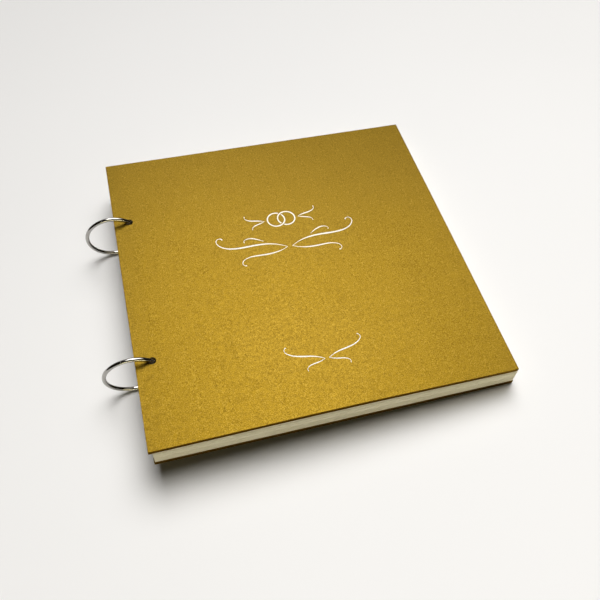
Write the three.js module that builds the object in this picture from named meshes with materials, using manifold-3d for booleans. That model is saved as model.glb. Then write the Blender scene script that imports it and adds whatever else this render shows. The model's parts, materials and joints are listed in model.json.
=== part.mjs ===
// A square wedding guest book: two paper-covered boards, a block of card leaves and two hinged book rings.
//
// The book's own frame has its origin under the middle of the front cover, at the back cover's underside.
// +X points from the spine to the fore-edge, +Y from the tail to the head and +Z out of the front cover.
// The rings hang below the back cover, so the finished book leans by the small angle at which the rings
// and the fore-edge touch the table together. Lengths are in millimetres.

import * as THREE from 'three';
import { mergeVertices } from 'three/addons/utils/BufferGeometryUtils.js';
import Module from 'manifold-3d';

const wasm = await Module();
wasm.setup();

// Covers
const COVER_WIDTH = 210;
const COVER_HEIGHT = 210;
const BOARD_THICKNESS = 2.4;
const WRAP_THICKNESS = 0.18;
const LINING_THICKNESS = 0.18;
const GLUE_LINE = 0.02;
const TURN_IN_WIDTH = 16;
const LINING_MARGIN = 3;

// Leaves
const LEAF_COUNT = 25;
const LEAF_THICKNESS = 0.42;
const LEAF_AIR_GAP = 0.04;
const LEAF_SHORTER_BY = 1.3;
const LEAF_LOWER_BY = 0.8;

// Holes, measured from the spine edge of the sheet that they are punched in
const HOLE_MARGIN = 10.5;
const HOLE_SPACING = 104;
const HOLE_ROOM_FOR_WIRE = 4;

// Rings
const RING_INNER_DIAMETER = 30;
const WIRE_DIAMETER = 2.4;
const RING_HEIGHT = 6.5;
const LEAF_PLAY_ON_WIRE = 0.6;
const BACK_PLAY_ON_WIRE = 0.3;

// Hinge and clasp of a ring
const HINGE_ANGLE = THREE.MathUtils.degToRad(108);
const HINGE_PIN_DIAMETER = 0.9;
const PIN_CLEARANCE = 0.06;
const PIN_RECESS = 0.1;
const TONGUE_THICKNESS = 0.7;
const HINGE_CLEARANCE = 0.15;
const CLASP_GAP = 0.1;
const NIB_DIAMETER = 1;
const NIB_TIP_DIAMETER = 0.7;
const NIB_LENGTH = 1;
const SOCKET_CLEARANCE = 0.1;

// Facets
const HOLE_SEGMENTS = 24;
const WIRE_SIDES = 12;
const RING_SEGMENTS = 60;
const HINGE_SEGMENTS = 20;

// Sizes that follow from the ones above
const wireRadius = WIRE_DIAMETER / 2;
const ringInnerRadius = RING_INNER_DIAMETER / 2;
const ringRadius = ringInnerRadius + wireRadius;
const ringOuterRadius = ringInnerRadius + WIRE_DIAMETER;
const holeRadius = (WIRE_DIAMETER + HOLE_ROOM_FOR_WIRE) / 2;
const shellThickness = BOARD_THICKNESS + 2 * (WRAP_THICKNESS + GLUE_LINE);
const coverThickness = shellThickness + GLUE_LINE + LINING_THICKNESS;
const leafPitch = LEAF_THICKNESS + LEAF_AIR_GAP;
const blockThickness = LEAF_COUNT * leafPitch + LEAF_AIR_GAP;
const frontCoverFoot = coverThickness + blockThickness;
const bookThickness = frontCoverFoot + coverThickness;
const leafWidth = COVER_WIDTH - LEAF_SHORTER_BY;
const leafHeight = COVER_HEIGHT - LEAF_LOWER_BY;

// Half the width of a ring of this radius, at this height over the back cover's underside.
function ringReach(radius, height) {
  return Math.sqrt(radius ** 2 - (height - RING_HEIGHT) ** 2);
}

// The holes of the front cover have the wire in their middle, which sets where the rings stand.
const frontSpine = -COVER_WIDTH / 2;
const wireInFrontHole = (ringReach(ringInnerRadius, bookThickness) + ringReach(ringOuterRadius, frontCoverFoot)) / 2;
const ringX = frontSpine + HOLE_MARGIN - wireInFrontHole;

// The leaves and the back cover hang on the wire with a little play on its fore-edge side.
const leafSpine = ringX + ringOuterRadius + LEAF_PLAY_ON_WIRE - holeRadius - HOLE_MARGIN;
const wireInBackHole = ringReach(ringOuterRadius, coverThickness);
const backSpine = ringX + wireInBackHole + BACK_PLAY_ON_WIRE - holeRadius - HOLE_MARGIN;

const PAPER_GOLD = { color: 0xc9a540, roughness: 0.42, metalness: 0.55 };
const BOARD_GREY = { color: 0x6f665a, roughness: 0.95, metalness: 0 };
const LINING_IVORY = { color: 0xe6dfc9, roughness: 0.85, metalness: 0 };
const CARD_IVORY = { color: 0xe9e2cc, roughness: 0.85, metalness: 0 };
const NICKEL = { color: 0xc9c7c0, roughness: 0.18, metalness: 1 };

function namedMesh(name, geometry, look) {
  const mesh = new THREE.Mesh(geometry, new THREE.MeshStandardMaterial(look));
  mesh.name = name;
  return mesh;
}

function solidFrom(geometry) {
  const bare = new THREE.BufferGeometry();
  bare.setAttribute('position', geometry.getAttribute('position'));
  bare.setIndex(geometry.getIndex());
  const merged = mergeVertices(bare);
  return new wasm.Manifold(new wasm.Mesh({
    numProp: 3,
    vertProperties: Float32Array.from(merged.getAttribute('position').array),
    triVerts: Uint32Array.from(merged.getIndex().array),
  }));
}

function geometryFrom(solid) {
  const { vertProperties, triVerts } = solid.getMesh();
  const geometry = new THREE.BufferGeometry();
  geometry.setAttribute('position', new THREE.BufferAttribute(vertProperties, 3));
  geometry.setIndex(new THREE.BufferAttribute(triVerts, 1));
  geometry.computeVertexNormals();
  return geometry;
}

// A flat rectangular sheet standing on z = 0 from its spine edge towards the fore-edge, with two ring holes.
function punchedSheet(spineX, width, height, thickness, holeX) {
  const outline = new THREE.Shape([
    new THREE.Vector2(spineX, -height / 2),
    new THREE.Vector2(spineX + width, -height / 2),
    new THREE.Vector2(spineX + width, height / 2),
    new THREE.Vector2(spineX, height / 2),
  ]);
  for (const side of [-1, 1]) {
    const hole = new THREE.Path();
    hole.absarc(holeX, (side * HOLE_SPACING) / 2, holeRadius, 0, 2 * Math.PI, true);
    outline.holes.push(hole);
  }
  return new THREE.ExtrudeGeometry(outline, {
    depth: thickness,
    bevelEnabled: false,
    curveSegments: HOLE_SEGMENTS / 2,
  });
}

function block(lowX, highX, height, lowZ, highZ) {
  const box = new THREE.BoxGeometry(highX - lowX, height, highZ - lowZ);
  box.translate((lowX + highX) / 2, 0, (lowZ + highZ) / 2);
  return solidFrom(box);
}

// The covering paper: one sheet under the board, up its four edges and turned in over its inner face.
function wrapGeometry(spineX) {
  const punched = punchedSheet(spineX, COVER_WIDTH, COVER_HEIGHT, shellThickness, spineX + HOLE_MARGIN);
  const foreX = spineX + COVER_WIDTH;
  const pocketTop = shellThickness - WRAP_THICKNESS;
  const boardPocket = block(
    spineX + WRAP_THICKNESS,
    foreX - WRAP_THICKNESS,
    COVER_HEIGHT - 2 * WRAP_THICKNESS,
    WRAP_THICKNESS,
    pocketTop,
  );
  const insideTurnIns = block(
    spineX + TURN_IN_WIDTH,
    foreX - TURN_IN_WIDTH,
    COVER_HEIGHT - 2 * TURN_IN_WIDTH,
    BOARD_THICKNESS,
    shellThickness + WRAP_THICKNESS,
  );
  return geometryFrom(solidFrom(punched).subtract(boardPocket).subtract(insideTurnIns));
}

// A cover lying on its outer face: covering paper, board and lining, each glued to the one below it.
function cover(side, spineX) {
  const holeX = spineX + HOLE_MARGIN;
  const boardEdge = WRAP_THICKNESS + GLUE_LINE;

  const wrap = namedMesh(`${side}_wrap`, wrapGeometry(spineX), PAPER_GOLD);

  const board = namedMesh(
    `${side}_board`,
    punchedSheet(
      spineX + boardEdge,
      COVER_WIDTH - 2 * boardEdge,
      COVER_HEIGHT - 2 * boardEdge,
      BOARD_THICKNESS,
      holeX,
    ),
    BOARD_GREY,
  );
  board.position.z = WRAP_THICKNESS + GLUE_LINE;

  const lining = namedMesh(
    `${side}_lining`,
    punchedSheet(
      spineX + LINING_MARGIN,
      COVER_WIDTH - 2 * LINING_MARGIN,
      COVER_HEIGHT - 2 * LINING_MARGIN,
      LINING_THICKNESS,
      holeX,
    ),
    LINING_IVORY,
  );
  lining.position.z = shellThickness + GLUE_LINE;

  const group = new THREE.Group();
  group.add(wrap, board, lining);
  return group;
}

function frontCover() {
  const group = cover('front', frontSpine);
  group.rotation.x = Math.PI;
  group.position.z = bookThickness;
  return group;
}

function leaves() {
  const group = new THREE.Group();
  for (let number = 1; number <= LEAF_COUNT; number += 1) {
    const name = `leaf_${String(number).padStart(2, '0')}`;
    const sheet = punchedSheet(leafSpine, leafWidth, leafHeight, LEAF_THICKNESS, leafSpine + HOLE_MARGIN);
    const leaf = namedMesh(name, sheet, CARD_IVORY);
    leaf.position.z = coverThickness + LEAF_AIR_GAP + (number - 1) * leafPitch;
    group.add(leaf);
  }
  return group;
}

// A ring's own frame has its centre at the origin, its axis along Z and its hinge on +X.
// The swinging gate is the half on the +Y side, and the clasp is where the ring crosses -X.

function roundBar(radius, lowZ, highZ) {
  const bar = new THREE.CylinderGeometry(radius, radius, highZ - lowZ, HINGE_SEGMENTS);
  bar.rotateX(Math.PI / 2);
  bar.translate(ringRadius, 0, (lowZ + highZ) / 2);
  return solidFrom(bar);
}

// A round peg along Y on the ring's centreline at the clasp.
function claspPeg(rootDiameter, tipDiameter, lowY, highY) {
  const peg = new THREE.CylinderGeometry(tipDiameter / 2, rootDiameter / 2, highY - lowY, HINGE_SEGMENTS);
  peg.translate(-ringRadius, (lowY + highY) / 2, 0);
  return solidFrom(peg);
}

function halfSpace(side) {
  const size = 2 * ringOuterRadius + WIRE_DIAMETER;
  const box = new THREE.BoxGeometry(size, size, size);
  box.translate(0, (side * (size + CLASP_GAP)) / 2, 0);
  return solidFrom(box);
}

// The half that stays in the holes: its hinge end is a flat tongue with an eye, its clasp end has a nib.
function fixedHalf(wire) {
  const tongueTop = TONGUE_THICKNESS / 2;
  const shoulder = wireRadius + HINGE_CLEARANCE;
  const eye = wire.intersect(roundBar(wireRadius, -tongueTop, tongueTop));
  return wire
    .intersect(halfSpace(-1))
    .subtract(roundBar(shoulder, tongueTop, WIRE_DIAMETER))
    .subtract(roundBar(shoulder, -WIRE_DIAMETER, -tongueTop))
    .add(eye)
    .subtract(roundBar(HINGE_PIN_DIAMETER / 2 + PIN_CLEARANCE, -WIRE_DIAMETER, WIRE_DIAMETER))
    .add(claspPeg(NIB_DIAMETER, NIB_TIP_DIAMETER, -NIB_LENGTH, NIB_LENGTH));
}

// The half that swings open: its hinge end is a fork over the tongue, its clasp end has a socket.
function gateHalf(wire) {
  const slotTop = TONGUE_THICKNESS / 2 + HINGE_CLEARANCE;
  const cheeks = wire
    .intersect(roundBar(wireRadius, -WIRE_DIAMETER, WIRE_DIAMETER))
    .subtract(roundBar(WIRE_DIAMETER, -slotTop, slotTop));
  const socketDiameter = NIB_DIAMETER + 2 * SOCKET_CLEARANCE;
  return wire
    .intersect(halfSpace(1))
    .subtract(roundBar(wireRadius + HINGE_CLEARANCE, -slotTop, slotTop))
    .add(cheeks)
    .subtract(roundBar(HINGE_PIN_DIAMETER / 2 + PIN_CLEARANCE, -WIRE_DIAMETER, WIRE_DIAMETER))
    .subtract(claspPeg(socketDiameter, socketDiameter, -NIB_LENGTH, NIB_LENGTH + SOCKET_CLEARANCE));
}

function hingePin() {
  const length = WIRE_DIAMETER - 2 * PIN_RECESS;
  return roundBar(HINGE_PIN_DIAMETER / 2, -length / 2, length / 2);
}

function bookRing(name, y) {
  const wire = solidFrom(new THREE.TorusGeometry(ringRadius, wireRadius, WIRE_SIDES, RING_SEGMENTS));
  const turned = new THREE.Group();
  turned.rotation.z = HINGE_ANGLE;
  turned.add(
    namedMesh(`${name}_half`, geometryFrom(fixedHalf(wire)), NICKEL),
    namedMesh(`${name}_gate`, geometryFrom(gateHalf(wire)), NICKEL),
    namedMesh(`${name}_pin`, geometryFrom(hingePin()), NICKEL),
  );

  // The ring stands upright across the spine, with its axis along the book's -Y.
  const upright = new THREE.Group();
  upright.rotation.x = Math.PI / 2;
  upright.position.set(ringX, y, RING_HEIGHT);
  upright.add(turned);
  return upright;
}

// The angle at which the rings' undersides and the back cover's fore-edge arris meet one flat surface.
function restingLean() {
  const run = backSpine + COVER_WIDTH - ringX;
  const toRingCentre = Math.atan2(RING_HEIGHT, run);
  return Math.asin(ringOuterRadius / Math.hypot(run, RING_HEIGHT)) - toRingCentre;
}

const book = new THREE.Group();
book.rotation.y = restingLean();
book.add(
  cover('back', backSpine),
  leaves(),
  frontCover(),
  bookRing('ring_tail', -HOLE_SPACING / 2),
  bookRing('ring_head', HOLE_SPACING / 2),
);

// The origin is on the table under the middle of the leaning book.
const bounds = new THREE.Box3().setFromObject(book, true);
const middle = bounds.getCenter(new THREE.Vector3());
const guestBook = new THREE.Group();
guestBook.add(book);
guestBook.position.set(-middle.x, -middle.y, -bounds.min.z);

export default guestBook;
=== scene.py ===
"""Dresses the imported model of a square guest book: covers, linings, leaves, rings and foil."""

import json
import math
import random

import bmesh
import bpy
from bpy.props import FloatProperty, FloatVectorProperty, IntProperty, PointerProperty
from mathutils import Matrix, Vector


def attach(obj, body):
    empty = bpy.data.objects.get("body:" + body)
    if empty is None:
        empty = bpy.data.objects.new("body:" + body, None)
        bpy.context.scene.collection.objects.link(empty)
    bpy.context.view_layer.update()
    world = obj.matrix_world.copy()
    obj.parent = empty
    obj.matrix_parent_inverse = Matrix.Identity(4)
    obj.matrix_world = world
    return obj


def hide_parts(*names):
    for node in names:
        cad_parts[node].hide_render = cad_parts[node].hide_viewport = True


bl_info = {
    "name": "Guest Book",
    "version": (1, 0, 0),
    "blender": (4, 5, 0),
    "location": "View3D > Sidebar > Guest Book",
    "description": "Builds a square guest book held on two hinged book rings",
    "category": "Object",
}

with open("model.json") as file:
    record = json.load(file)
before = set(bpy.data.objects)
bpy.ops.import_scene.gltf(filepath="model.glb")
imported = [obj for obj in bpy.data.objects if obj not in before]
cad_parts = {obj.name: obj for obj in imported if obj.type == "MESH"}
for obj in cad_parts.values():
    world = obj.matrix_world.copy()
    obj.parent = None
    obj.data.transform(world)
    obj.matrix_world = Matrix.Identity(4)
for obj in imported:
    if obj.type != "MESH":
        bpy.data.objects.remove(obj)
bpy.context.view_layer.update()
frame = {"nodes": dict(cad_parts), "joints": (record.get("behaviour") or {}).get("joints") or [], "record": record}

# Millimetres in a metre. Pieces are shaped in the lying book's own millimetres, then laid on the table.
MM = 1000.0

# The sizes below are in those millimetres.
# Squares that flat pieces are cut into, so that they can bend.
PAPER_GRID, BOARD_GRID, LEAF_GRID = 15, 26, 30

# A turned-in corner's mitred folds, the boards' rounded edges and the step in a lining.
MITRE_WIDTH, MITRE_SINK = 0.25, 0.1
BOARD_ROUNDING = 0.35
LINING_STEP_WIDTH, LINING_STEP_DEPTH = 0.8, 0.1

# Where a sheet's ring holes are looked for: from the spine edge, and from the ring along that edge.
HOLE_ZONE, HOLE_REACH = (4, 15), 8

# The rings' rounded edges, the room in the gate's slot and socket, and the rivet heads.
WIRE_ROUNDING, RIVET_ROUNDING, RIVET_RECESS = 0.06, 0.16, 0.1
SLOT_ROOM, SOCKET_ROOM = 0.1, 0.2
SOCKET_DEPTH_SHARE, TONGUE_SHARE = 1.1, 0.95
# How far a gate is bent past its hinge, in radians, before it is trimmed to its round end.
PAST_HINGE = 0.09

# The foil lies this far above the paper, and its beads take this share of a stroke.
FOIL_LIFT, BEAD_SHARE = 0.008, 0.035


def corners(points):
    """The lowest and highest corner of some points."""
    return Vector(map(min, zip(*points))), Vector(map(max, zip(*points)))


def book_to_table():
    """The matrix from the book's own millimetres to the table.

    In the book, +X runs from the spine to the fore-edge, +Y from the tail to the head and +Z up out of the
    front cover. Its origin is under the middle of the front cover, on the back cover's outer face.
    """
    outward = next(m["axis"] for m in frame["record"]["mounts"] if m["name"] == "table_side")
    lean = Matrix.Rotation(math.atan2(-outward[0], -outward[2]), 4, "Y")
    upright = lean.inverted()
    front_low, front_high = corners([upright @ v.co for v in frame["nodes"]["front_wrap"].data.vertices])
    back_low = corners([upright @ v.co for v in frame["nodes"]["back_wrap"].data.vertices])[0]
    origin = Vector(((front_low.x + front_high.x) / 2, 0, back_low.z))
    return lean @ Matrix.Translation(origin) @ Matrix.Scale(1 / MM, 4)


TO_TABLE = book_to_table()
TO_BOOK = TO_TABLE.inverted()


def book_box(node):
    """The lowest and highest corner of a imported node, in the book's own millimetres."""
    return corners([TO_BOOK @ v.co for v in frame["nodes"][node].data.vertices])


def joint_place(name):
    """Where a joint's axis is, in the book's own millimetres."""
    joint = next(j for j in frame["joints"] if j["name"] == name)
    return TO_BOOK @ Vector(joint["pos_m"])


def length(name, description, default):
    return FloatProperty(
        name=name, description=description, default=default, min=0.0, soft_max=0.05,
        unit="LENGTH", subtype="DISTANCE", precision=5,
    )


def colour(name, description, default):
    return FloatVectorProperty(
        name=name, description=description, default=default, size=3, min=0.0, max=1.0, subtype="COLOR"
    )


def share(name, description, default):
    return FloatProperty(
        name=name, description=description, default=default, min=0.0, max=1.0, subtype="FACTOR"
    )


class CoverSettings(bpy.types.PropertyGroup):
    arris: length("Arris", "Radius of the paper where it turns over a board's edge", 0.0005)
    turn_in: length("Turn-in", "Width of the paper that is folded to the inside", 0.016)
    paper: length("Paper", "Thickness of the covering paper", 0.00018)
    hole_rim: length("Hole rim", "Roundness of a punched hole's rim", 0.00012)
    front_hole: length("Front hole", "Diameter of the slanting holes that the rings have worn", 0.0045)
    bow: length("Bow", "How far the front cover's middle rises", 0.0009)
    tail_bow: length("Tail bow", "How far the middle of the front cover's tail edge rises", 0.0016)
    fore_bow: length("Fore-edge bow", "How far the middle of the front cover's fore-edge rises", 0.0003)
    gold: colour("Gold", "The paper's main colour", (0.129, 0.0768, 0.0026))
    deep_gold: colour("Deep gold", "The paper's darker clouding", (0.11, 0.0628, 0.0015))
    fleck: colour("Fleck", "Bright flecks of pigment", (0.188, 0.121, 0.015))
    speck: colour("Speck", "Dark specks between the pigment", (0.058, 0.032, 0.001))
    # Painted shade: this darker gold goes on the paper's edges and hole walls, as painted shade with a little
    # rubbing.
    fold_shade_and_wear: colour("Fold", "The rubbed paper round a board's edges and in its holes", (0.064, 0.0255, 0.0006))
    board: colour("Board", "The grey board inside", (0.16, 0.13, 0.1))
    lining: colour("Lining", "The paper that lines a cover", (0.79, 0.74, 0.58))


class LeafSettings(bpy.types.PropertyGroup):
    stagger: length("Stagger", "How unevenly the leaves' edges lie", 0.00014)
    fan: length("Fan", "How much further to the tail the bottom leaf lies than the top one", 0.00035)
    settle: length("Settle", "How far the stack is pressed together", 0.0008)
    bow: share("Bow", "The top leaf's share of the front cover's bow", 0.9)
    hole_room: length("Hole room", "How far to the spine of the wire a hole's middle lies", 0.0005)
    edge: length("Edge", "Softness of a leaf's cut edge", 0.00005)
    card: colour("Card", "The leaves' card", (0.9, 0.86, 0.73))
    shade: colour("Shade", "The darker leaves' card", (0.8, 0.755, 0.62))
    tones: share("Tones", "How much the leaves differ from each other in tone", 0.6)
    # Painted shade: this near-black goes on the leaves' hole walls, as painted shade with some soiling by the
    # rings.
    hole_shade_and_soil: colour("Soil", "The card inside the holes, soiled by the rings", (0.05, 0.04, 0.03))
    seed: IntProperty(name="Seed", description="Which uneven stack is made", default=7, min=0)


class RingSettings(bpy.types.PropertyGroup):
    wire: length("Wire", "Diameter of the ring's wire", 0.0024)
    hinge_clearance: length("Hinge clearance", "Room round the tongue in its fork", 0.00015)
    tongue: length("Tongue", "Thickness of the hinge's tongue", 0.0007)
    pin: length("Pin", "Diameter of the hinge pin", 0.0009)
    pin_clearance: length("Pin clearance", "Room round the pin", 0.00006)
    nib: length("Nib", "Diameter of the clasp's nib", 0.001)
    clasp_gap: length("Clasp gap", "Width of the joint at the clasp", 0.0001)
    steps: IntProperty(name="Steps", description="Segments in each half ring", default=72, min=12, max=200)
    nickel: colour("Nickel", "The plated wire", (0.47, 0.455, 0.43))


class FoilSettings(bpy.types.PropertyGroup):
    rise: share("Rise", "Height of the pressed foil as a share of its stroke's half width", 0.06)
    white: colour("White", "The pressed white foil", (0.86, 0.85, 0.81))


class StageSettings(bpy.types.PropertyGroup):
    floor: colour("Floor", "The plain pale floor", (0.84, 0.835, 0.83))
    room: colour("Room", "The room's faint light", (1.0, 0.88, 0.6))
    room_light: share("Room light", "Strength of the room's light", 0.02)
    key_light: FloatProperty(
        name="Key light", description="Power of the large soft light above the head edge", default=25.5,
        min=0.0, unit="POWER",
    )
    fill_light: FloatProperty(
        name="Fill light", description="Power of the low soft light in front", default=4.0, min=0.0,
        unit="POWER",
    )
    camera_place: FloatVectorProperty(
        name="Camera place", description="The camera, measured in the book's own directions",
        default=(-0.07935, -0.24782, 0.34956), size=3, unit="LENGTH", subtype="TRANSLATION",
    )
    camera_turn: FloatVectorProperty(
        name="Camera turn",
        description="Heading towards +X, look down and roll, in the book's own directions",
        default=(math.radians(19.046), math.radians(55.345), math.radians(4.959)), size=3,
        unit="ROTATION", subtype="EULER",
    )
    lens: FloatProperty(
        name="Lens", description="Focal length on a 36 mm wide sensor", default=40.49, min=1.0,
        unit="CAMERA",
    )


# Modelling

def clear_selection():
    if bpy.context.object and bpy.context.object.mode != "OBJECT":
        bpy.ops.object.mode_set(mode="OBJECT")
    bpy.ops.object.select_all(action="DESELECT")


def choose(piece):
    """Makes a piece the one that operators act on."""
    clear_selection()
    piece.select_set(True)
    bpy.context.view_layer.objects.active = piece


def edit(piece):
    choose(piece)
    bpy.ops.object.mode_set(mode="EDIT")


def pick(kind, test):
    """In edit mode, selects only the vertices, edges or faces that pass a test."""
    bpy.ops.mesh.select_mode(type=kind)
    bpy.ops.mesh.select_all(action="DESELECT")
    mesh = bpy.context.object.data
    shape = bmesh.from_edit_mesh(mesh)
    for part in {"VERT": shape.verts, "EDGE": shape.edges, "FACE": shape.faces}[kind]:
        if test(part):
            part.select_set(True)
    shape.select_flush_mode()
    bmesh.update_edit_mesh(mesh)


def name_new(name):
    """Names the piece that an operator has just added, with its place put into its mesh."""
    piece = bpy.context.object
    piece.name = piece.data.name = name
    bpy.ops.object.transform_apply(location=True, rotation=True, scale=True)
    return piece


def add_block(name, low, high):
    clear_selection()
    low, high = Vector(low), Vector(high)
    bpy.ops.mesh.primitive_cube_add(size=1, location=(low + high) / 2, scale=high - low)
    return name_new(name)


def add_bar(name, diameter, low, high, sides=32):
    """A round bar from one point to another."""
    clear_selection()
    low, high = Vector(low), Vector(high)
    along = high - low
    bpy.ops.mesh.primitive_cylinder_add(
        vertices=sides, radius=diameter / 2, depth=along.length, location=(low + high) / 2,
        rotation=along.to_track_quat("Z", "Y").to_euler(),
    )
    return name_new(name)


def apply_modifier(piece, kind, **settings):
    modifier = piece.modifiers.new(kind, kind)
    for key, value in settings.items():
        setattr(modifier, key, value)
    choose(piece)
    bpy.ops.object.modifier_apply(modifier=modifier.name)


def combine(piece, other, operation):
    """Joins, cuts or crosses a piece with another, which is used up."""
    apply_modifier(piece, "BOOLEAN", object=other, operation=operation, solver="EXACT")
    bpy.data.objects.remove(other)


def soften(piece, width, segments=2, angle=35):
    apply_modifier(
        piece, "BEVEL", width=width, segments=segments, limit_method="ANGLE",
        angle_limit=math.radians(angle), use_clamp_overlap=True,
    )


def cut_grid(piece, pitch):
    """Cuts a sheet or board into squares, so that it can bend."""
    low, high = corners([v.co for v in piece.data.vertices])
    edit(piece)
    for axis in range(2):
        normal = Vector((axis == 0, axis == 1, 0))
        count = round((high[axis] - low[axis]) / pitch)
        for step in range(1, count):
            bpy.ops.mesh.select_all(action="SELECT")
            place = low[axis] + (high[axis] - low[axis]) * step / count
            bpy.ops.mesh.bisect(plane_co=normal * place, plane_no=normal)
    bpy.ops.object.mode_set(mode="OBJECT")


def copy_of(piece, name):
    choose(piece)
    bpy.ops.object.duplicate(linked=False)
    made = bpy.context.object
    made.name = made.data.name = name
    return made


def place(piece, matrix):
    """Moves a piece and puts its new place into its mesh."""
    piece.matrix_world = matrix @ piece.matrix_world
    choose(piece)
    bpy.ops.object.transform_apply(location=True, rotation=True, scale=True)


def smooth(piece, angle=30):
    choose(piece)
    bpy.ops.object.shade_smooth_by_angle(angle=math.radians(angle))


def finish(piece, material, body, node=None):
    """Lays a finished piece on the table, gives it its material and hangs it on its body."""
    place(piece, TO_TABLE)
    smooth(piece)
    apply_modifier(piece, "WEIGHTED_NORMAL", weight=100, keep_sharp=True)
    piece.data.materials.clear()
    piece.data.materials.append(material)
    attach(piece, body)
    if node:
        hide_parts(node)


def hole_places(node):
    """The middle, lowest and highest point of each of a sheet's two ring holes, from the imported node."""
    low, high = book_box(node)
    places = []
    for joint in ("ring_tail_spin", "ring_head_spin"):
        middle_y = joint_place(joint).y
        rim = [
            v for v in (TO_BOOK @ v.co for v in frame["nodes"][node].data.vertices)
            if abs(v.y - middle_y) < HOLE_REACH and low.x + HOLE_ZONE[0] < v.x < low.x + HOLE_ZONE[1]
        ]
        rim_low, rim_high = corners(rim)
        places.append((Vector(((rim_low.x + rim_high.x) / 2, middle_y, 0)), rim_high.x - rim_low.x))
    return places


def punch(piece, holes, low_z, high_z):
    for middle, diameter in holes:
        bar = add_bar(
            "punch", diameter, (middle.x, middle.y, low_z - 1), (middle.x, middle.y, high_z + 1), sides=40
        )
        combine(piece, bar, "DIFFERENCE")


def wire_place(height):
    """How far along X the rings' wire crosses this height."""
    ring = joint_place("ring_tail_spin")
    arm = joint_place("ring_tail_open") - ring
    return ring.x + math.sqrt(arm.x ** 2 + arm.z ** 2 - (height - ring.z) ** 2)


def punch_slanting(piece, diameter):
    """Punches the front cover's holes, which slant with the wire that goes through them."""
    low, high = book_box("front_wrap")
    for joint in ("ring_tail_spin", "ring_head_spin"):
        low_x, high_x, y = wire_place(low.z), wire_place(high.z), joint_place(joint).y
        reach = 2 * (high.z - low.z)
        bar = add_bar("punch", diameter, (low_x, y, low.z - reach), (low_x, y, high.z + reach), sides=40)
        edit(bar)
        slant = (high_x - low_x) / (high.z - low.z)
        for end in (low.z - reach, high.z + reach):
            pick("VERT", lambda vertex: abs(vertex.co.z - end) < 0.01)
            bpy.ops.transform.translate(value=(slant * (end - low.z), 0, 0))
        bpy.ops.object.mode_set(mode="OBJECT")
        combine(piece, bar, "DIFFERENCE")


# Materials

def new_material(name):
    material = bpy.data.materials.new(name)
    material.use_nodes = True
    tree = material.node_tree
    tree.nodes.clear()
    output = tree.nodes.new("ShaderNodeOutputMaterial")
    shader = tree.nodes.new("ShaderNodeBsdfPrincipled")
    tree.links.new(shader.outputs["BSDF"], output.inputs["Surface"])
    return material, tree, shader


def object_space(tree, stretch=(1, 1, 1)):
    """Object coordinates, stretched along the axes."""
    place_node = tree.nodes.new("ShaderNodeTexCoord")
    mapping = tree.nodes.new("ShaderNodeMapping")
    mapping.inputs["Scale"].default_value = stretch
    tree.links.new(place_node.outputs["Object"], mapping.inputs["Vector"])
    return mapping.outputs["Vector"]


def noise(tree, vector, size, detail=2.0, roughness=0.5):
    """Noise whose lumps are about this many metres across."""
    node = tree.nodes.new("ShaderNodeTexNoise")
    node.inputs["Scale"].default_value = 1 / size
    node.inputs["Detail"].default_value = detail
    node.inputs["Roughness"].default_value = roughness
    tree.links.new(vector, node.inputs["Vector"])
    return node.outputs["Fac"]


def between(tree, value, low, high, to_low=0.0, to_high=1.0):
    node = tree.nodes.new("ShaderNodeMapRange")
    node.inputs["From Min"].default_value = low
    node.inputs["From Max"].default_value = high
    node.inputs["To Min"].default_value = to_low
    node.inputs["To Max"].default_value = to_high
    tree.links.new(value, node.inputs["Value"])
    return node.outputs["Result"]


def toned(tint, factor):
    """A colour made darker or lighter."""
    return tuple(factor * part for part in tint)


def blend(tree, factor, first, second):
    """A colour that goes from the first to the second with the factor."""
    node = tree.nodes.new("ShaderNodeMix")
    node.data_type = "RGBA"
    tree.links.new(factor, node.inputs["Factor"])
    sockets = [s for s in node.inputs if s.type == "RGBA"]
    for socket, value in zip(sockets, (first, second)):
        if isinstance(value, bpy.types.NodeSocket):
            tree.links.new(value, socket)
        else:
            socket.default_value = (*value, 1)
    return next(s for s in node.outputs if s.type == "RGBA")


def bump(tree, shader, height, distance, strength):
    node = tree.nodes.new("ShaderNodeBump")
    node.inputs["Strength"].default_value = strength
    node.inputs["Distance"].default_value = distance
    tree.links.new(height, node.inputs["Height"])
    tree.links.new(node.outputs["Normal"], shader.inputs["Normal"])


def mark_faces(piece, name, amount):
    """Stores a share from 0 to 1 on each face of a piece, for its material."""
    shares = [min(max(amount(face), 0.0), 1.0) for face in piece.data.polygons]
    piece.data.attributes.new(name, "FLOAT", "FACE").data.foreach_set("value", shares)


def marked(tree, name):
    node = tree.nodes.new("ShaderNodeAttribute")
    node.attribute_name = name
    return node.outputs["Fac"]


def add_up(tree, first, second, share_of_second):
    node = tree.nodes.new("ShaderNodeMath")
    node.operation = "MULTIPLY_ADD"
    tree.links.new(second, node.inputs[0])
    node.inputs[1].default_value = share_of_second
    tree.links.new(first, node.inputs[2])
    return node.outputs[0]


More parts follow.
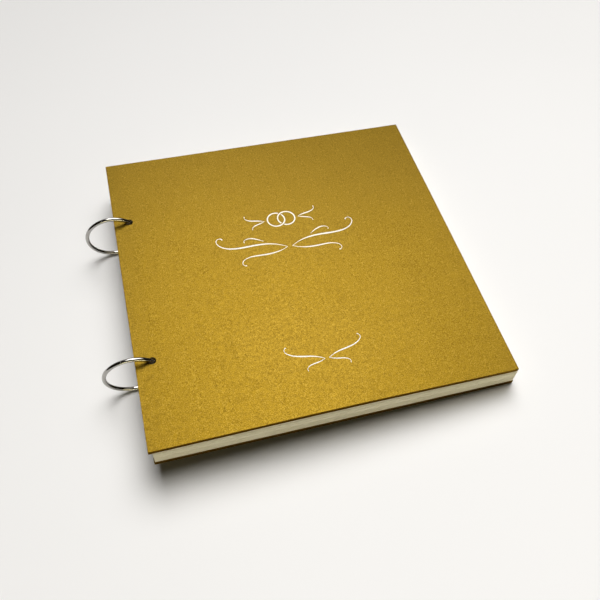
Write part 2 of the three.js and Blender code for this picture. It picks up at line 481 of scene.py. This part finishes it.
def gold_paper(covers):
    """Paper coated with gold pigment: fine grain, bright flecks, dark specks and a faint clouding, with painted
    shade on its edges and in its holes.
    """
    material, tree, shader = new_material("gold_paper")
    space = object_space(tree)
    clouds = noise(tree, space, 0.018, 3)
    mottle = noise(tree, space, 0.0016, 3, 0.6)
    grain = noise(tree, space, 0.0005, 2, 0.6)
    body = blend(tree, between(tree, clouds, 0.35, 0.65, 0.0, 0.3), covers.gold, covers.deep_gold)
    body = blend(tree, between(tree, mottle, 0.42, 0.7, 0.0, 0.5), body, covers.deep_gold)
    body = blend(tree, between(tree, grain, 0.51, 0.66, 0.0, 0.9), body, covers.fleck)
    body = blend(tree, between(tree, grain, 0.47, 0.3, 0.0, 0.9), body, covers.speck)
    # Painted shade: edges and hole walls turn to the dark fold colour and become more metallic, as painted shade
    # with a little rubbing.
    fold_shade_and_wear = marked(tree, "rubbed_and_shaded")
    body = blend(tree, fold_shade_and_wear, body, covers.fold_shade_and_wear)
    tree.links.new(body, shader.inputs["Base Color"])
    tree.links.new(between(tree, fold_shade_and_wear, 0.0, 1.0, 0.65, 0.96), shader.inputs["Metallic"])
    shader.inputs["Specular IOR Level"].default_value = 0.33
    shader.inputs["Specular Tint"].default_value = (1, 0.78, 0.3, 1)
    tree.links.new(between(tree, mottle, 0.3, 0.7, 0.32, 0.44), shader.inputs["Roughness"])
    bump(tree, shader, add_up(tree, grain, mottle, 0.8), 0.00004, 0.6)
    return material


def grey_board(covers):
    """Pressed grey board with pale and dark fibres."""
    material, tree, shader = new_material("grey_board")
    space = object_space(tree)
    fibre = noise(tree, object_space(tree, (1, 1, 3)), 0.0009, 4, 0.65)
    pulp = noise(tree, space, 0.004, 3)
    body = blend(tree, between(tree, fibre, 0.35, 0.65), toned(covers.board, 0.6), covers.board)
    body = blend(tree, between(tree, pulp, 0.45, 0.7, 0.0, 0.4), body, toned(covers.board, 1.5))
    tree.links.new(body, shader.inputs["Base Color"])
    shader.inputs["Roughness"].default_value = 0.95
    bump(tree, shader, fibre, 0.0001, 0.7)
    return material


def lining_paper(covers):
    """Smooth ivory paper with a faint laid grain."""
    material, tree, shader = new_material("lining_paper")
    space = object_space(tree)
    laid = noise(tree, object_space(tree, (1, 12, 1)), 0.006, 3)
    fibre = noise(tree, space, 0.0007, 3, 0.6)
    laid_share = between(tree, laid, 0.35, 0.65, 0.0, 0.6)
    body = blend(tree, laid_share, covers.lining, toned(covers.lining, 0.93))
    body = blend(tree, between(tree, fibre, 0.5, 0.75, 0.0, 0.4), body, toned(covers.lining, 0.8))
    tree.links.new(body, shader.inputs["Base Color"])
    tree.links.new(between(tree, fibre, 0.3, 0.7, 0.75, 0.9), shader.inputs["Roughness"])
    bump(tree, shader, add_up(tree, fibre, laid, 0.6), 0.00003, 0.5)
    return material


def leaf_card(leaves):
    """Uncoated ivory card in each sheet's own tone, with painted shade and some soiling inside the ring holes."""
    material, tree, shader = new_material("leaf_card")
    space = object_space(tree)
    fibre = noise(tree, space, 0.0006, 3, 0.6)
    felt = noise(tree, space, 0.005, 3)
    body = blend(tree, marked(tree, "tone"), leaves.card, leaves.shade)
    body = blend(tree, between(tree, felt, 0.4, 0.7, 0.0, 0.25), body, leaves.shade)
    body = blend(tree, between(tree, fibre, 0.55, 0.75, 0.0, 0.3), body, toned(leaves.shade, 0.75))
    # Painted shade: the hole walls turn near-black, as painted shade with some soiling by the rings.
    body = blend(tree, marked(tree, "shaded_and_soiled"), body, leaves.hole_shade_and_soil)
    tree.links.new(body, shader.inputs["Base Color"])
    tree.links.new(between(tree, fibre, 0.3, 0.7, 0.8, 0.95), shader.inputs["Roughness"])
    bump(tree, shader, add_up(tree, fibre, felt, 0.5), 0.00004, 0.5)
    return material


def nickel_wire(rings):
    """Polished nickel plate with faint drawing marks and worn patches."""
    material, tree, shader = new_material("nickel_wire")
    space = object_space(tree)
    patches = noise(tree, space, 0.003, 3, 0.6)
    drawn = noise(tree, object_space(tree, (1, 5, 1)), 0.0004, 3, 0.6)
    body = blend(tree, between(tree, patches, 0.4, 0.7), rings.nickel, toned(rings.nickel, 0.86))
    tree.links.new(body, shader.inputs["Base Color"])
    shader.inputs["Metallic"].default_value = 1.0
    tree.links.new(between(tree, patches, 0.3, 0.7, 0.07, 0.17), shader.inputs["Roughness"])
    bump(tree, shader, drawn, 0.000006, 0.35)
    return material


def white_foil(foil):
    """Pressed white pigment foil, satin, taking a little of the paper's grain."""
    material, tree, shader = new_material("white_foil")
    space = object_space(tree)
    grain = noise(tree, space, 0.0005, 2, 0.6)
    body = blend(tree, between(tree, grain, 0.5, 0.75, 0.0, 0.5), foil.white, toned(foil.white, 0.9))
    tree.links.new(body, shader.inputs["Base Color"])
    tree.links.new(between(tree, grain, 0.3, 0.7, 0.35, 0.5), shader.inputs["Roughness"])
    bump(tree, shader, grain, 0.00001, 0.4)
    return material


def pale_floor(stage):
    material, tree, shader = new_material("pale_floor")
    tone = noise(tree, object_space(tree), 0.25, 2)
    body = blend(tree, between(tree, tone, 0.3, 0.7), stage.floor, toned(stage.floor, 0.985))
    tree.links.new(body, shader.inputs["Base Color"])
    shader.inputs["Roughness"].default_value = 0.6
    shader.inputs["Specular IOR Level"].default_value = 0.2
    return material


# Covers

def bend_to_bow(pieces, covers, part=1.0):
    """Bends pieces with the front cover's slight bow, or with a part of it."""
    low, high = book_box("front_wrap")
    clear_selection()
    bpy.ops.object.add(type="LATTICE", location=(low + high) / 2)
    cage = bpy.context.object
    cage.scale = (high.x - low.x, high.y - low.y, 4 * high.z)
    cage.data.points_u = cage.data.points_v = 3
    cage.data.points_w = 2
    for axis in "uvw":
        setattr(cage.data, f"interpolation_type_{axis}", "KEY_CARDINAL")
    # Counted from the spine to the fore-edge, then from the tail to the head.
    rises = {(1, 0): covers.tail_bow, (1, 1): covers.bow, (2, 1): covers.fore_bow}
    for index, point in enumerate(cage.data.points):
        point.co_deform.z += rises.get((index % 3, index // 3 % 3), 0.0) * part * MM / cage.scale.z
    for piece in pieces:
        apply_modifier(piece, "LATTICE", object=cage)
    bpy.data.objects.remove(cage)


def over_to_front(node_pair):
    """The matrix that turns a piece of the back cover over into the front cover's place."""
    back_low, back_high = book_box(node_pair[0])
    front_low, front_high = book_box(node_pair[1])
    turn = Matrix.Rotation(math.pi, 4, "X")
    return Matrix.Translation((front_low.x - back_low.x, 0, front_low.z + back_high.z)) @ turn


class GUESTBOOK_OT_cover_papers(bpy.types.Operator):
    """Folds the gold papers round both covers' boards"""

    bl_idname = "guest_book.cover_papers"
    bl_label = "Cover Papers"

    def execute(self, context):
        covers = context.scene.guest_book_covers
        low, high = book_box("back_wrap")
        arris, turn_in = covers.arris * MM, covers.turn_in * MM
        back = add_block("back_cover_paper", low, high)
        edit(back)
        pick("FACE", lambda face: face.normal.z > 0.5)
        bpy.ops.mesh.inset(thickness=turn_in, use_even_offset=True)
        bpy.ops.mesh.delete(type="FACE")
        middle = (low + high) / 2

        def on_mitre(point):
            return abs(abs(point.x - middle.x) - abs(point.y - middle.y)) < 0.01 and point.z > middle.z

        # The corners' mitred folds sink a little between the turned-in edges.
        pick("EDGE", lambda edge: all(on_mitre(v.co) for v in edge.verts) and edge.calc_length() > 1)
        bpy.ops.mesh.bevel(offset=MITRE_WIDTH, segments=2, affect="EDGES")
        pick("VERT", lambda vertex: on_mitre(vertex.co))
        bpy.ops.transform.translate(value=(0, 0, -MITRE_SINK))
        bpy.ops.object.mode_set(mode="OBJECT")
        soften(back, arris, 3, 40)
        cut_grid(back, PAPER_GRID)
        apply_modifier(back, "SOLIDIFY", thickness=covers.paper * MM, offset=-1, use_even_offset=True)
        front = copy_of(back, "front_cover_paper")
        place(front, over_to_front(("back_wrap", "front_wrap")))
        back_holes = hole_places("back_wrap")
        punch(back, back_holes, low.z, high.z)
        punch_slanting(front, covers.front_hole * MM)
        top = book_box("front_wrap")[1].z
        front_holes = [
            (Vector((wire_place(top), hole.y, 0)), covers.front_hole * MM) for hole, _ in back_holes
        ]
        for piece, holes, face_z in ((back, back_holes, low.z), (front, front_holes, top)):

            def on_outer_rim(vertex):
                return abs(vertex.co.z - face_z) < 0.01 and any(
                    abs((vertex.co.xy - hole.xy).length - diameter / 2) < 0.02 for hole, diameter in holes
                )

            edit(piece)
            pick("EDGE", lambda edge: all(on_outer_rim(v) for v in edge.verts))
            bpy.ops.mesh.bevel(offset=covers.hole_rim * MM, segments=2, affect="EDGES")
            bpy.ops.object.mode_set(mode="OBJECT")
            # Faces are painted darker by how far they turn away from the cover's flat sides: painted shade on the
            # edges and in the holes, with a little rubbing.
            mark_faces(piece, "rubbed_and_shaded", lambda face: 1.6 * (0.95 - abs(face.normal.z)))
        bend_to_bow([front], covers)
        paper = gold_paper(covers)
        finish(back, paper, "back_cover", "back_wrap")
        finish(front, paper, "front_cover", "front_wrap")
        return {"FINISHED"}


class GUESTBOOK_OT_cover_boards(bpy.types.Operator):
    """Cuts and punches both covers' grey boards"""

    bl_idname = "guest_book.cover_boards"
    bl_label = "Cover Boards"

    def execute(self, context):
        covers = context.scene.guest_book_covers
        low, high = book_box("back_board")
        back = add_block("back_cover_board", low, high)
        soften(back, BOARD_ROUNDING, 3)
        cut_grid(back, BOARD_GRID)
        front = copy_of(back, "front_cover_board")
        place(front, over_to_front(("back_board", "front_board")))
        punch(back, hole_places("back_board"), low.z, high.z)
        punch_slanting(front, covers.front_hole * MM)
        bend_to_bow([front], covers)
        board = grey_board(covers)
        finish(back, board, "back_cover", "back_board")
        finish(front, board, "front_cover", "front_board")
        return {"FINISHED"}


class GUESTBOOK_OT_cover_linings(bpy.types.Operator):
    """Pastes the ivory linings down inside both covers"""

    bl_idname = "guest_book.cover_linings"
    bl_label = "Cover Linings"

    def execute(self, context):
        covers = context.scene.guest_book_covers
        low, high = book_box("back_lining")
        wrap_low = book_box("back_wrap")[0]
        over_turn_in = covers.turn_in * MM - (low.x - wrap_low.x)
        back = add_block("back_cover_lining", low, high)
        edit(back)
        # The lining steps down where the turned-in edges under it end.
        pick("FACE", lambda face: abs(face.normal.z) > 0.5)
        bpy.ops.mesh.inset(thickness=over_turn_in, use_even_offset=True)
        bpy.ops.mesh.inset(thickness=LINING_STEP_WIDTH, use_even_offset=True)
        bpy.ops.transform.translate(value=(0, 0, -LINING_STEP_DEPTH))
        bpy.ops.object.mode_set(mode="OBJECT")
        cut_grid(back, BOARD_GRID)
        front = copy_of(back, "front_cover_lining")
        place(front, over_to_front(("back_lining", "front_lining")))
        punch(back, hole_places("back_lining"), low.z, high.z)
        punch_slanting(front, covers.front_hole * MM)
        bend_to_bow([front], covers)
        lining = lining_paper(covers)
        finish(back, lining, "back_cover", "back_lining")
        finish(front, lining, "front_cover", "front_lining")
        return {"FINISHED"}


# Leaves

class GUESTBOOK_OT_leaves(bpy.types.Operator):
    """Stacks the loose card leaves, each cut and laid a little unevenly"""

    bl_idname = "guest_book.leaves"
    bl_label = "Leaves"

    def execute(self, context):
        leaves, covers = context.scene.guest_book_leaves, context.scene.guest_book_covers
        names = sorted(name for name in frame["nodes"] if name.startswith("leaf_"))
        low, high = book_box(names[0])
        first = add_block(names[0] + "_card", low, high)
        soften(first, leaves.edge * MM, 1)
        cut_grid(first, LEAF_GRID)
        holes = hole_places(names[0])
        punch(first, holes, low.z, high.z)

        def in_hole(face):
            return abs(face.normal.z) < 0.5 and any(
                (face.center.xy - hole.xy).length < 0.6 * diameter for hole, diameter in holes
            )

        # Painted shade: the walls of the ring holes are marked for the card's painted shade and soiling.
        mark_faces(first, "shaded_and_soiled", in_hole)
        card = leaf_card(leaves)
        chance, tones = random.Random(leaves.seed), random.Random(leaves.seed + 1)
        sheets = [first] + [copy_of(first, name + "_card") for name in names[1:]]
        for index, (name, sheet) in enumerate(zip(names, sheets)):
            height = index / (len(names) - 1)
            lift = book_box(name)[0].z - low.z - leaves.settle * MM * height
            wire_x = wire_place(low.z + lift)
            edit(sheet)
            bpy.ops.mesh.select_all(action="SELECT")
            bpy.ops.transform.translate(value=(0, -leaves.fan * MM * (1 - height), lift))
            # Each edge is moved by itself, and the holes keep to the curve of the rings.
            pick("VERT", lambda v: any((v.co.xy - hole.xy).length < diameter for hole, diameter in holes))
            bpy.ops.transform.translate(value=(wire_x - leaves.hole_room * MM - holes[0][0].x, 0, 0))
            for axis, side in ((0, -1), (0, 1), (1, -1), (1, 1)):
                edge_place = low[axis] if side < 0 else high[axis]
                reach = 0.1 + leaves.fan * MM
                pick("VERT", lambda v: abs(v.co[axis] - edge_place) < reach)
                uneven = chance.uniform(-1, 1) * leaves.stagger * MM
                if axis == 1 and chance.random() < 0.16:
                    uneven -= side * leaves.stagger * MM * 1.2
                move = [0, 0, 0]
                move[axis] = uneven
                bpy.ops.transform.translate(value=move)
            bpy.ops.object.mode_set(mode="OBJECT")
            bend_to_bow([sheet], covers, leaves.bow * height)
            tone = tones.uniform(0, leaves.tones)
            mark_faces(sheet, "tone", lambda face: tone)
            finish(sheet, card, name, name)
        return {"FINISHED"}


# Rings

def ring_wire(name, radius, diameter, start, turn, steps):
    """Round wire bent along part of a ring about +Z, with flat ends."""
    clear_selection()
    bpy.ops.mesh.primitive_circle_add(
        vertices=28, radius=diameter / 2, fill_type="NOTHING",
        location=(radius * math.cos(start), radius * math.sin(start), 0),
        rotation=(Matrix.Rotation(start, 3, "Z") @ Matrix.Rotation(math.pi / 2, 3, "X")).to_euler(),
    )
    piece = name_new(name)
    edit(piece)
    bpy.ops.mesh.select_all(action="SELECT")
    bpy.ops.mesh.spin(steps=steps, angle=-turn, center=(0, 0, 0), axis=(0, 0, 1))
    bpy.ops.mesh.select_all(action="SELECT")
    bpy.ops.mesh.fill_holes(sides=0)
    bpy.ops.mesh.select_all(action="SELECT")
    bpy.ops.mesh.normals_make_consistent(inside=False)
    bpy.ops.object.mode_set(mode="OBJECT")
    return piece


class GUESTBOOK_OT_rings(bpy.types.Operator):
    """Bends the two hinged book rings, each with a fork, tongue, pin and nib clasp"""

    bl_idname = "guest_book.rings"
    bl_label = "Book Rings"

    def execute(self, context):
        rings = context.scene.guest_book_rings
        wire, tongue, pin = rings.wire * MM, rings.tongue * MM, rings.pin * MM
        clearance, pin_room = rings.hinge_clearance * MM, rings.pin_clearance * MM
        nib, gap = rings.nib * MM, rings.clasp_gap * MM
        centre, hinge = joint_place("ring_tail_spin"), joint_place("ring_tail_open")
        arm = hinge - centre
        radius = math.hypot(arm.x, arm.z)
        shoulder = wire + 2 * clearance
        slot_top = tongue / 2 + clearance

        def bar(diameter, low, high):
            return add_bar("bar", diameter, (radius, 0, low), (radius, 0, high))

        def peg(diameter, low, high):
            return add_bar("peg", diameter, (-radius, low, 0), (-radius, high, 0), 24)

        # The half that stays in the holes: shoulders, an eyed tongue between them and a nib at the clasp.
        start, turn = -gap / 2 / radius, -math.pi + gap / radius
        half = ring_wire("ring_half", radius, wire, start, turn, rings.steps)
        combine(half, bar(shoulder, tongue / 2, wire), "DIFFERENCE")
        combine(half, bar(shoulder, -wire, -tongue / 2), "DIFFERENCE")
        combine(half, bar(TONGUE_SHARE * wire, -tongue / 2, tongue / 2), "UNION")
        combine(half, bar(pin + 2 * pin_room, -wire, wire), "DIFFERENCE")
        combine(half, peg(nib, -nib, nib), "UNION")
        soften(half, WIRE_ROUNDING)

        # The half that swings open: a fork over the tongue and a socket for the nib.
        turn = math.pi - gap / 2 / radius + PAST_HINGE
        gate = ring_wire("ring_gate", radius, wire, -PAST_HINGE, turn, rings.steps)
        keep = add_block("keep", (-2 * radius, gap / 2, -wire), (2 * radius, 2 * radius, wire))
        combine(keep, bar(wire, -wire, wire), "UNION")
        combine(gate, keep, "INTERSECT")
        combine(gate, bar(shoulder + SLOT_ROOM, -slot_top, slot_top), "DIFFERENCE")
        combine(gate, bar(pin + 2 * pin_room, -wire, wire), "DIFFERENCE")
        combine(gate, peg(nib + SOCKET_ROOM, -nib, SOCKET_DEPTH_SHARE * nib), "DIFFERENCE")
        soften(gate, WIRE_ROUNDING)

        # The pin's ends are riveted into low domes.
        rivet = bar(pin, -wire / 2 + RIVET_RECESS, wire / 2 - RIVET_RECESS)
        rivet.name = rivet.data.name = "ring_pin"
        soften(rivet, RIVET_ROUNDING, 3)

        nickel = nickel_wire(rings)
        upright = Matrix.Rotation(math.pi / 2, 4, "X")
        hinge_turn = Matrix.Rotation(math.atan2(arm.z, arm.x), 4, "Z")
        for side in ("tail", "head"):
            stand = Matrix.Translation(joint_place(f"ring_{side}_spin")) @ upright
            for shape, part, body in (
                (half, "half", f"ring_{side}"),
                (gate, "gate", f"ring_{side}_gate"),
                (rivet, "pin", f"ring_{side}"),
            ):
                piece = copy_of(shape, f"{side}_ring_{part}_wire")
                place(piece, stand @ hinge_turn)
                finish(piece, nickel, body, f"ring_{side}_{part}")
        for shape in (half, gate, rivet):
            bpy.data.objects.remove(shape)
        return {"FINISHED"}


# Foil

def pen_stroke(start, heading, reach, bends, steps=72):
    """Points of a stroke whose curvature, per millimetre, runs smoothly through the given bends."""
    point, points, heading = Vector(start), [Vector(start)], math.radians(heading)
    for step in range(steps):
        at = (step + 0.5) / steps * (len(bends) - 1)
        first = min(int(at), len(bends) - 2)
        ease = (1 - math.cos(math.pi * (at - first))) / 2
        heading += (bends[first] * (1 - ease) + bends[first + 1] * ease) * reach / steps
        point = point + Vector((math.cos(heading), math.sin(heading))) * reach / steps
        points.append(point)
    return points


def pen_widths(count, thin, thick, bead, widest=0.42):
    """Widths along a stroke: thin, thick, thin, and a small bead at the end."""
    widths = []
    for index in range(count):
        along = index / (count - 1)
        rise = along / (2 * widest) if along < widest else 0.5 + (along - widest) / (2 * (1 - widest))
        width = thin + (thick - thin) * math.sin(math.pi * rise) ** 1.5
        if along > 1 - BEAD_SHARE:
            width = max(width, bead * math.sqrt(max(0.0, 1 - ((1 - along) / BEAD_SHARE) ** 2)))
        widths.append(width)
    return widths


def arc(middle, radius, start, turn, steps=64):
    return [
        Vector(middle) + radius * Vector((math.cos(a), math.sin(a)))
        for a in (math.radians(start + turn * i / steps) for i in range(steps + 1))
    ]


def press_stroke(points, widths, height, rise):
    """A stroke of foil, as a round-backed ribbon that is flattened on the cover."""
    curve = bpy.data.curves.new("stroke", "CURVE")
    curve.dimensions = "3D"
    curve.bevel_depth, curve.bevel_resolution, curve.use_fill_caps = 1.0, 3, True
    spline = curve.splines.new("POLY")
    spline.points.add(len(points) - 1)
    for knot, point, width in zip(spline.points, points, widths):
        knot.co = (point.x, point.y, 0, 1)
        knot.radius = width / 2
    stroke = bpy.data.objects.new("stroke", curve)
    bpy.context.scene.collection.objects.link(stroke)
    choose(stroke)
    bpy.ops.object.convert(target="MESH")
    stroke = bpy.context.object
    edit(stroke)
    bpy.ops.mesh.select_all(action="SELECT")
    bpy.ops.mesh.remove_doubles(threshold=0.0005)
    bpy.ops.mesh.normals_make_consistent(inside=False)
    bpy.ops.object.mode_set(mode="OBJECT")
    stroke.scale.z = rise
    stroke.location.z = height
    bpy.ops.object.transform_apply(location=True, rotation=True, scale=True)
    return stroke


def join(pieces, name):
    clear_selection()
    for piece in pieces:
        piece.select_set(True)
    bpy.context.view_layer.objects.active = pieces[0]
    bpy.ops.object.join()
    joined = bpy.context.object
    joined.name = joined.data.name = name
    return joined


class GUESTBOOK_OT_foil(bpy.types.Operator):
    """Presses plain white flourishes and a pair of linked rings on the front cover"""

    bl_idname = "guest_book.foil"
    bl_label = "Cover Foil"

    def execute(self, context):
        foil, covers = context.scene.guest_book_foil, context.scene.guest_book_covers
        top = book_box("front_wrap")[1].z + FOIL_LIFT
        white = white_foil(foil)

        def mirrored(start, heading, reach, bends, thin, thick, bead):
            points = pen_stroke(start, heading, reach, bends)
            widths = pen_widths(len(points), thin, thick, bead)
            return [
                press_stroke([Vector((side * p.x, p.y)) for p in points], widths, top, foil.rise)
                for side in (1, -1)
            ]

        def even(points, width):
            return press_stroke(points, [width] * len(points), top, foil.rise)

        # Strokes are a start, a heading in degrees, a reach, bends, and thin, thick and bead widths.
        rings, lift, size = 3.4, 33.5, 5.6
        crossing = math.degrees(math.acos(rings / size))
        linked = [
            even(arc((-rings, lift), size, crossing + 11, 338), 0.85),
            even(arc((rings, lift), size, crossing - 169, 338), 0.85),
            *mirrored((11.2, lift), 28, 15, [-0.09, -0.02, 0.1, 0.55], 0.22, 0.9, 0.7),
            *mirrored((11.2, lift), -28, 11, [0.09, 0.02, -0.12, -0.6], 0.22, 0.75, 0.6),
        ]
        scroll = [
            *mirrored((1.6, 10.0), 36, 54, [-0.036, -0.034, -0.012, 0.025, 0.1, 0.55], 0.28, 1.1, 0.85),
            *mirrored((1.6, 10.0), -30, 36, [0.045, 0.035, 0.01, -0.08, -0.55], 0.25, 0.9, 0.75),
            *mirrored((15.5, 17.4), 38, 15, [-0.02, -0.05, -0.14, -0.62], 0.22, 0.75, 0.65),
        ]
        divider = [
            *mirrored((1.2, -73.5), 34, 27, [-0.05, -0.04, 0.02, 0.08, 0.6], 0.25, 0.8, 0.65),
            *mirrored((1.2, -73.5), -28, 14, [0.07, 0.05, -0.1, -0.7], 0.22, 0.6, 0.55),
        ]
        for strokes, name in (
            (linked, "foil_linked_rings"), (scroll, "foil_scroll"), (divider, "foil_divider"),
        ):
            ornament = join(strokes, name)
            bend_to_bow([ornament], covers)
            finish(ornament, white, "front_cover")
        return {"FINISHED"}


# Stage

def add_softbox(name, place_at, aim, size, spread, power, tint):
    clear_selection()
    bpy.ops.object.light_add(type="AREA", location=place_at)
    lamp = bpy.context.object
    lamp.name = lamp.data.name = name
    lamp.data.shape, lamp.data.size, lamp.data.size_y = "RECTANGLE", *size
    lamp.data.energy, lamp.data.color, lamp.data.spread = power, tint, math.radians(spread)
    lamp.rotation_euler = (Vector(aim) - Vector(place_at)).to_track_quat("-Z", "Y").to_euler()


class GUESTBOOK_OT_stage(bpy.types.Operator):
    """Sets the floor, the soft studio light and the camera"""

    bl_idname = "guest_book.stage"
    bl_label = "Stage"

    def execute(self, context):
        stage, scene = context.scene.guest_book_stage, context.scene
        clear_selection()
        bpy.ops.mesh.primitive_plane_add(size=8, location=(0, 0, -0.00005))
        floor = name_new("pale_floor")
        edit(floor)
        bpy.ops.mesh.subdivide(number_cuts=3)
        bpy.ops.object.mode_set(mode="OBJECT")
        floor.data.materials.append(pale_floor(stage))
        add_softbox(
            "key_softbox", (0.65, 0.75, 2.2), (0.2, -0.5, 0), (2.4, 2.2), 75, stage.key_light,
            (1, 0.99, 0.975),
        )
        add_softbox(
            "front_softbox", (0, -1.3, 0.09), (0, 0, 0), (1.2, 0.14), 180, stage.fill_light, (1, 0.9, 0.5)
        )
        world = bpy.data.worlds.new("studio")
        world.use_nodes = True
        background = world.node_tree.nodes["Background"]
        background.inputs["Color"].default_value = (*stage.room, 1)
        background.inputs["Strength"].default_value = stage.room_light
        scene.world = world
        scene.view_settings.view_transform = "Standard"
        scene.view_settings.look = "None"

        # The book's own directions lean with it, so the camera is carried to the table with the book.
        heading, down, roll = stage.camera_turn
        turn = (
            Matrix.Rotation(-heading, 4, "Z") @ Matrix.Rotation(math.pi / 2 - down, 4, "X")
            @ Matrix.Rotation(roll, 4, "Z")
        )
        bpy.ops.object.camera_add()
        camera = bpy.context.object
        camera.name = "camera"
        camera.data.sensor_width, camera.data.lens = 36, stage.lens
        camera.data.clip_start, camera.data.clip_end = 0.01, 20
        lean = TO_TABLE.to_quaternion().to_matrix().to_4x4()
        camera.matrix_world = Matrix.Translation(TO_TABLE @ (Vector(stage.camera_place) * MM)) @ lean @ turn
        scene.camera = camera
        return {"FINISHED"}


class VIEW3D_PT_guest_book(bpy.types.Panel):
    """The guest book's sizes, colours and steps"""

    bl_idname = "VIEW3D_PT_guest_book"
    bl_label = "Guest Book"
    bl_space_type = "VIEW_3D"
    bl_region_type = "UI"
    bl_category = "Guest Book"

    def draw(self, context):
        for settings, operators in STEPS:
            box = self.layout.box()
            group = getattr(context.scene, settings)
            for key in group.bl_rna.properties.keys():
                if key not in ("rna_type", "name"):
                    box.prop(group, key)
            for operator in operators:
                box.operator(operator.bl_idname)


# Each group of settings with the operators that use it, in the panel's order.
STEPS = (
    (
        "guest_book_covers",
        (GUESTBOOK_OT_cover_papers, GUESTBOOK_OT_cover_boards, GUESTBOOK_OT_cover_linings),
    ),
    ("guest_book_leaves", (GUESTBOOK_OT_leaves,)),
    ("guest_book_rings", (GUESTBOOK_OT_rings,)),
    ("guest_book_foil", (GUESTBOOK_OT_foil,)),
    ("guest_book_stage", (GUESTBOOK_OT_stage,)),
)
GROUPS = {
    "guest_book_covers": CoverSettings,
    "guest_book_leaves": LeafSettings,
    "guest_book_rings": RingSettings,
    "guest_book_foil": FoilSettings,
    "guest_book_stage": StageSettings,
}


def register():
    for name, group in GROUPS.items():
        bpy.utils.register_class(group)
        setattr(bpy.types.Scene, name, PointerProperty(type=group))
    for _, operators in STEPS:
        for operator in operators:
            bpy.utils.register_class(operator)
    bpy.utils.register_class(VIEW3D_PT_guest_book)


def unregister():
    bpy.utils.unregister_class(VIEW3D_PT_guest_book)
    for _, operators in reversed(STEPS):
        for operator in reversed(operators):
            bpy.utils.unregister_class(operator)
    for name, group in reversed(GROUPS.items()):
        delattr(bpy.types.Scene, name)
        bpy.utils.unregister_class(group)


def main():
    register()
    bpy.ops.guest_book.cover_papers()
    bpy.ops.guest_book.cover_boards()
    bpy.ops.guest_book.cover_linings()
    bpy.ops.guest_book.leaves()
    bpy.ops.guest_book.rings()
    bpy.ops.guest_book.foil()
    bpy.ops.guest_book.stage()


if __name__ == "__main__":
    main()
